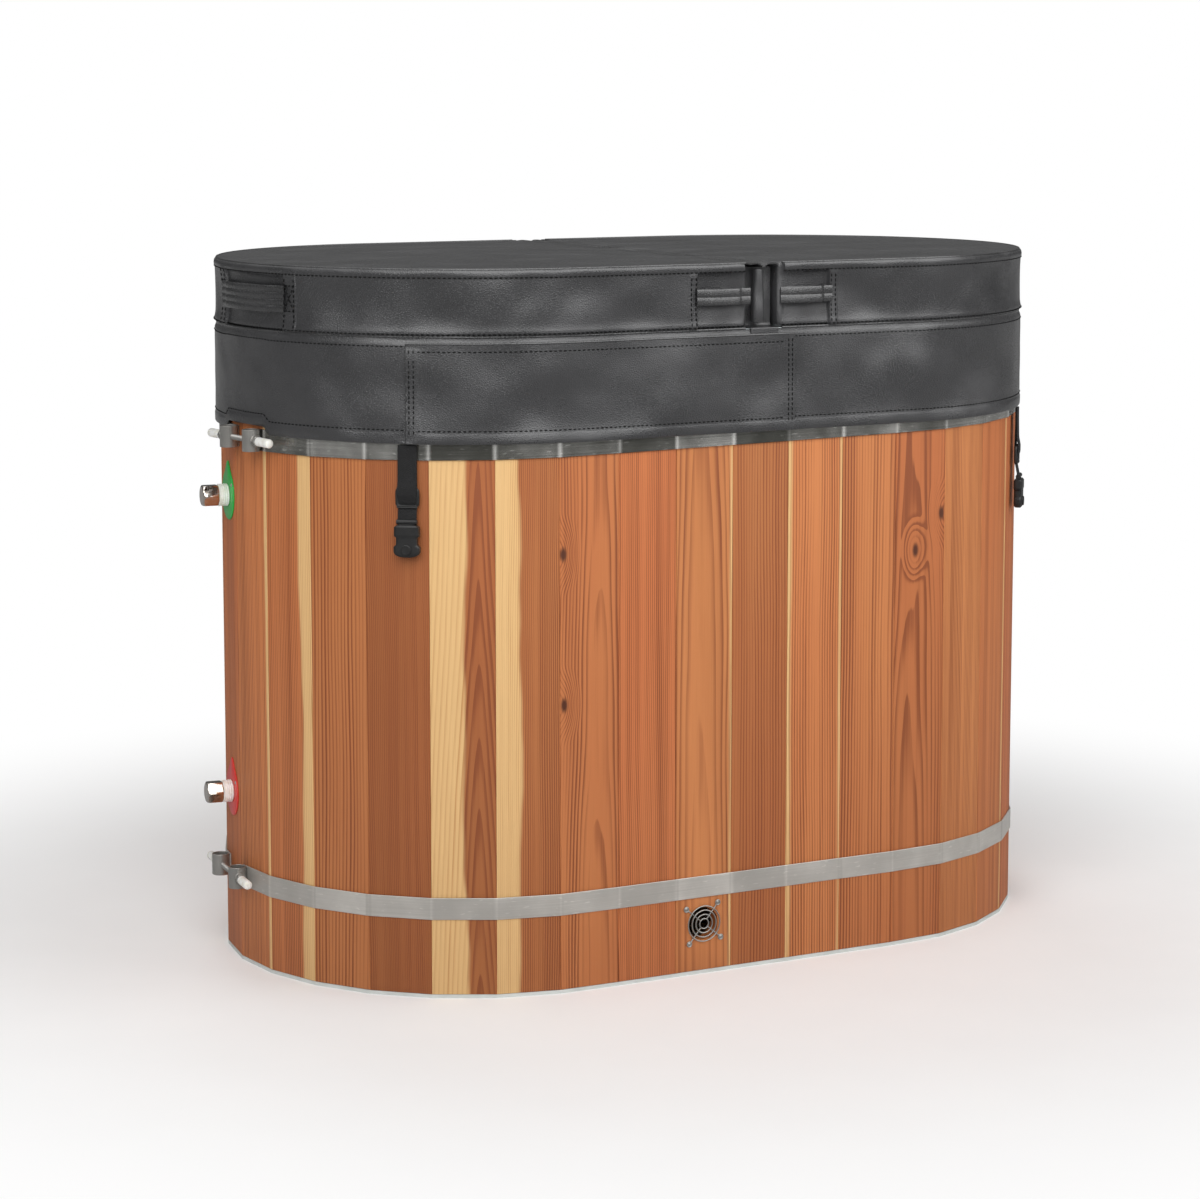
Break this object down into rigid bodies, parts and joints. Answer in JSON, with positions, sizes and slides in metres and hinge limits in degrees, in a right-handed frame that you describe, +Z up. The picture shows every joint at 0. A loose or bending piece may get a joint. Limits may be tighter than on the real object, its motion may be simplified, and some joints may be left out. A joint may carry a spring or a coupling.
{
  "type": "cold plunge tub",
  "caption": "Long round-ended cedar stave tub in two steel hoops, with a moulded liner, pipe fittings and a folding padded vinyl cover held by buckled straps.",
  "frame": {"origin": "on the floor under the middle of the tub's plan", "axes": "+X along the tub towards the end without fittings, -Y out of the front, +Z up"},
  "size_m": [1.2789, 0.7574, 0.9898],
  "materials": {
    "cedar": "satin",
    "plywood": "matte",
    "pale_sheet": "matte",
    "liner": "satin",
    "steel": "satin",
    "chrome": "polished",
    "white_plastic": "satin",
    "green_plate": "satin",
    "red_plate": "satin",
    "padded_vinyl": "satin",
    "vinyl": "satin",
    "webbing": "matte",
    "black_plastic": "satin"
  },
  "bodies": {
    "tub": {"staves_01": "cedar", "staves_03": "cedar", "staves_05": "cedar", "staves_07": "cedar", "staves_09": "cedar", "staves_11": "cedar", "staves_13": "cedar", "staves_15": "cedar", "staves_17": "cedar", "staves_19": "cedar", "staves_21": "cedar", "staves_23": "cedar", "staves_25": "cedar", "staves_27": "cedar", "staves_29": "cedar", "staves_31": "cedar", "staves_33": "cedar", "staves_35": "cedar", "staves_37": "cedar", "base_sheet": "pale_sheet", "floor_frame": "plywood", "floor_panel": "plywood", "rim_ring": "plywood", "liner": "liner", "lower_hoop": "steel", "lower_hoop_rod": "steel", "lower_hoop_sleeve_rear": "white_plastic", "lower_hoop_sleeve_front": "white_plastic", "lower_plate": "red_plate", "lower_spigot": "white_plastic", "upper_hoop": "steel", "upper_hoop_rod": "steel", "upper_hoop_sleeve_rear": "white_plastic", "upper_hoop_sleeve_front": "white_plastic", "upper_plate": "green_plate", "upper_spigot": "white_plastic", "vent_guard": "steel"},
    "right_cover": {"right_pad": "padded_vinyl", "right_skirt": "vinyl", "right_front_handle": "vinyl", "right_back_handle": "vinyl", "right_end_handle": "vinyl", "hinge_gusset": "vinyl"},
    "left_cover": {"left_pad": "padded_vinyl", "left_skirt": "vinyl", "left_front_handle": "vinyl", "left_back_handle": "vinyl", "left_end_handle": "vinyl", "front_flap": "vinyl", "back_flap": "vinyl"},
    "front_left_strap": {"front_left_strap": "webbing"},
    "front_left_buckle": {"front_left_buckle": "black_plastic"},
    "back_left_strap": {"back_left_strap": "webbing"},
    "back_left_buckle": {"back_left_buckle": "black_plastic"},
    "front_right_strap": {"front_right_strap": "webbing"},
    "front_right_buckle": {"front_right_buckle": "black_plastic"},
    "back_right_strap": {"back_right_strap": "webbing"},
    "back_right_buckle": {"back_right_buckle": "black_plastic"},
    "upper_cap": {"upper_cap": "chrome"},
    "lower_cap": {"lower_cap": "chrome"}
  },
  "joints": [
    {"name": "cover_lift", "type": "slide", "parent": "tub", "child": "right_cover", "axis": [0, 0, 1], "range_m": [0, 0.3]},
    {"name": "cover_fold", "type": "hinge", "parent": "right_cover", "child": "left_cover", "pos_m": [0.018, 0, 0.9908], "axis": [0, 1, 0], "range_deg": [0, 180]},
    {"name": "front_left_swing", "type": "hinge", "parent": "left_cover", "child": "front_left_strap", "pos_m": [-0.4827, -0.28366, 0.7531], "axis": [-0.7771, 0.6293, 0], "range_deg": [0, 85]},
    {"name": "front_left_unclip", "type": "slide", "parent": "front_left_strap", "child": "front_left_buckle", "axis": [0, 0, -1], "range_m": [0, 0.03]},
    {"name": "back_left_swing", "type": "hinge", "parent": "left_cover", "child": "back_left_strap", "pos_m": [-0.4827, 0.28366, 0.7531], "axis": [0.7771, 0.6293, 0], "range_deg": [0, 85]},
    {"name": "back_left_unclip", "type": "slide", "parent": "back_left_strap", "child": "back_left_buckle", "axis": [0, 0, -1], "range_m": [0, 0.03]},
    {"name": "front_right_swing", "type": "hinge", "parent": "right_cover", "child": "front_right_strap", "pos_m": [0.52425, -0.24423, 0.7531], "axis": [-0.6691, -0.7431, 0], "range_deg": [0, 85]},
    {"name": "front_right_unclip", "type": "slide", "parent": "front_right_strap", "child": "front_right_buckle", "axis": [0, 0, -1], "range_m": [0, 0.03]},
    {"name": "back_right_swing", "type": "hinge", "parent": "right_cover", "child": "back_right_strap", "pos_m": [0.52425, 0.24423, 0.7531], "axis": [0.6691, -0.7431, 0], "range_deg": [0, 85]},
    {"name": "back_right_unclip", "type": "slide", "parent": "back_right_strap", "child": "back_right_buckle", "axis": [0, 0, -1], "range_m": [0, 0.03]},
    {"name": "upper_cap_turn", "type": "hinge", "parent": "tub", "child": "upper_cap", "pos_m": [-0.60681, 0.0497, 0.657], "axis": [-0.9903, 0.1391, 0], "continuous": true},
    {"name": "lower_cap_turn", "type": "hinge", "parent": "tub", "child": "lower_cap", "pos_m": [-0.60681, 0.0497, 0.234], "axis": [-0.9903, 0.1391, 0], "continuous": true}
  ]
}
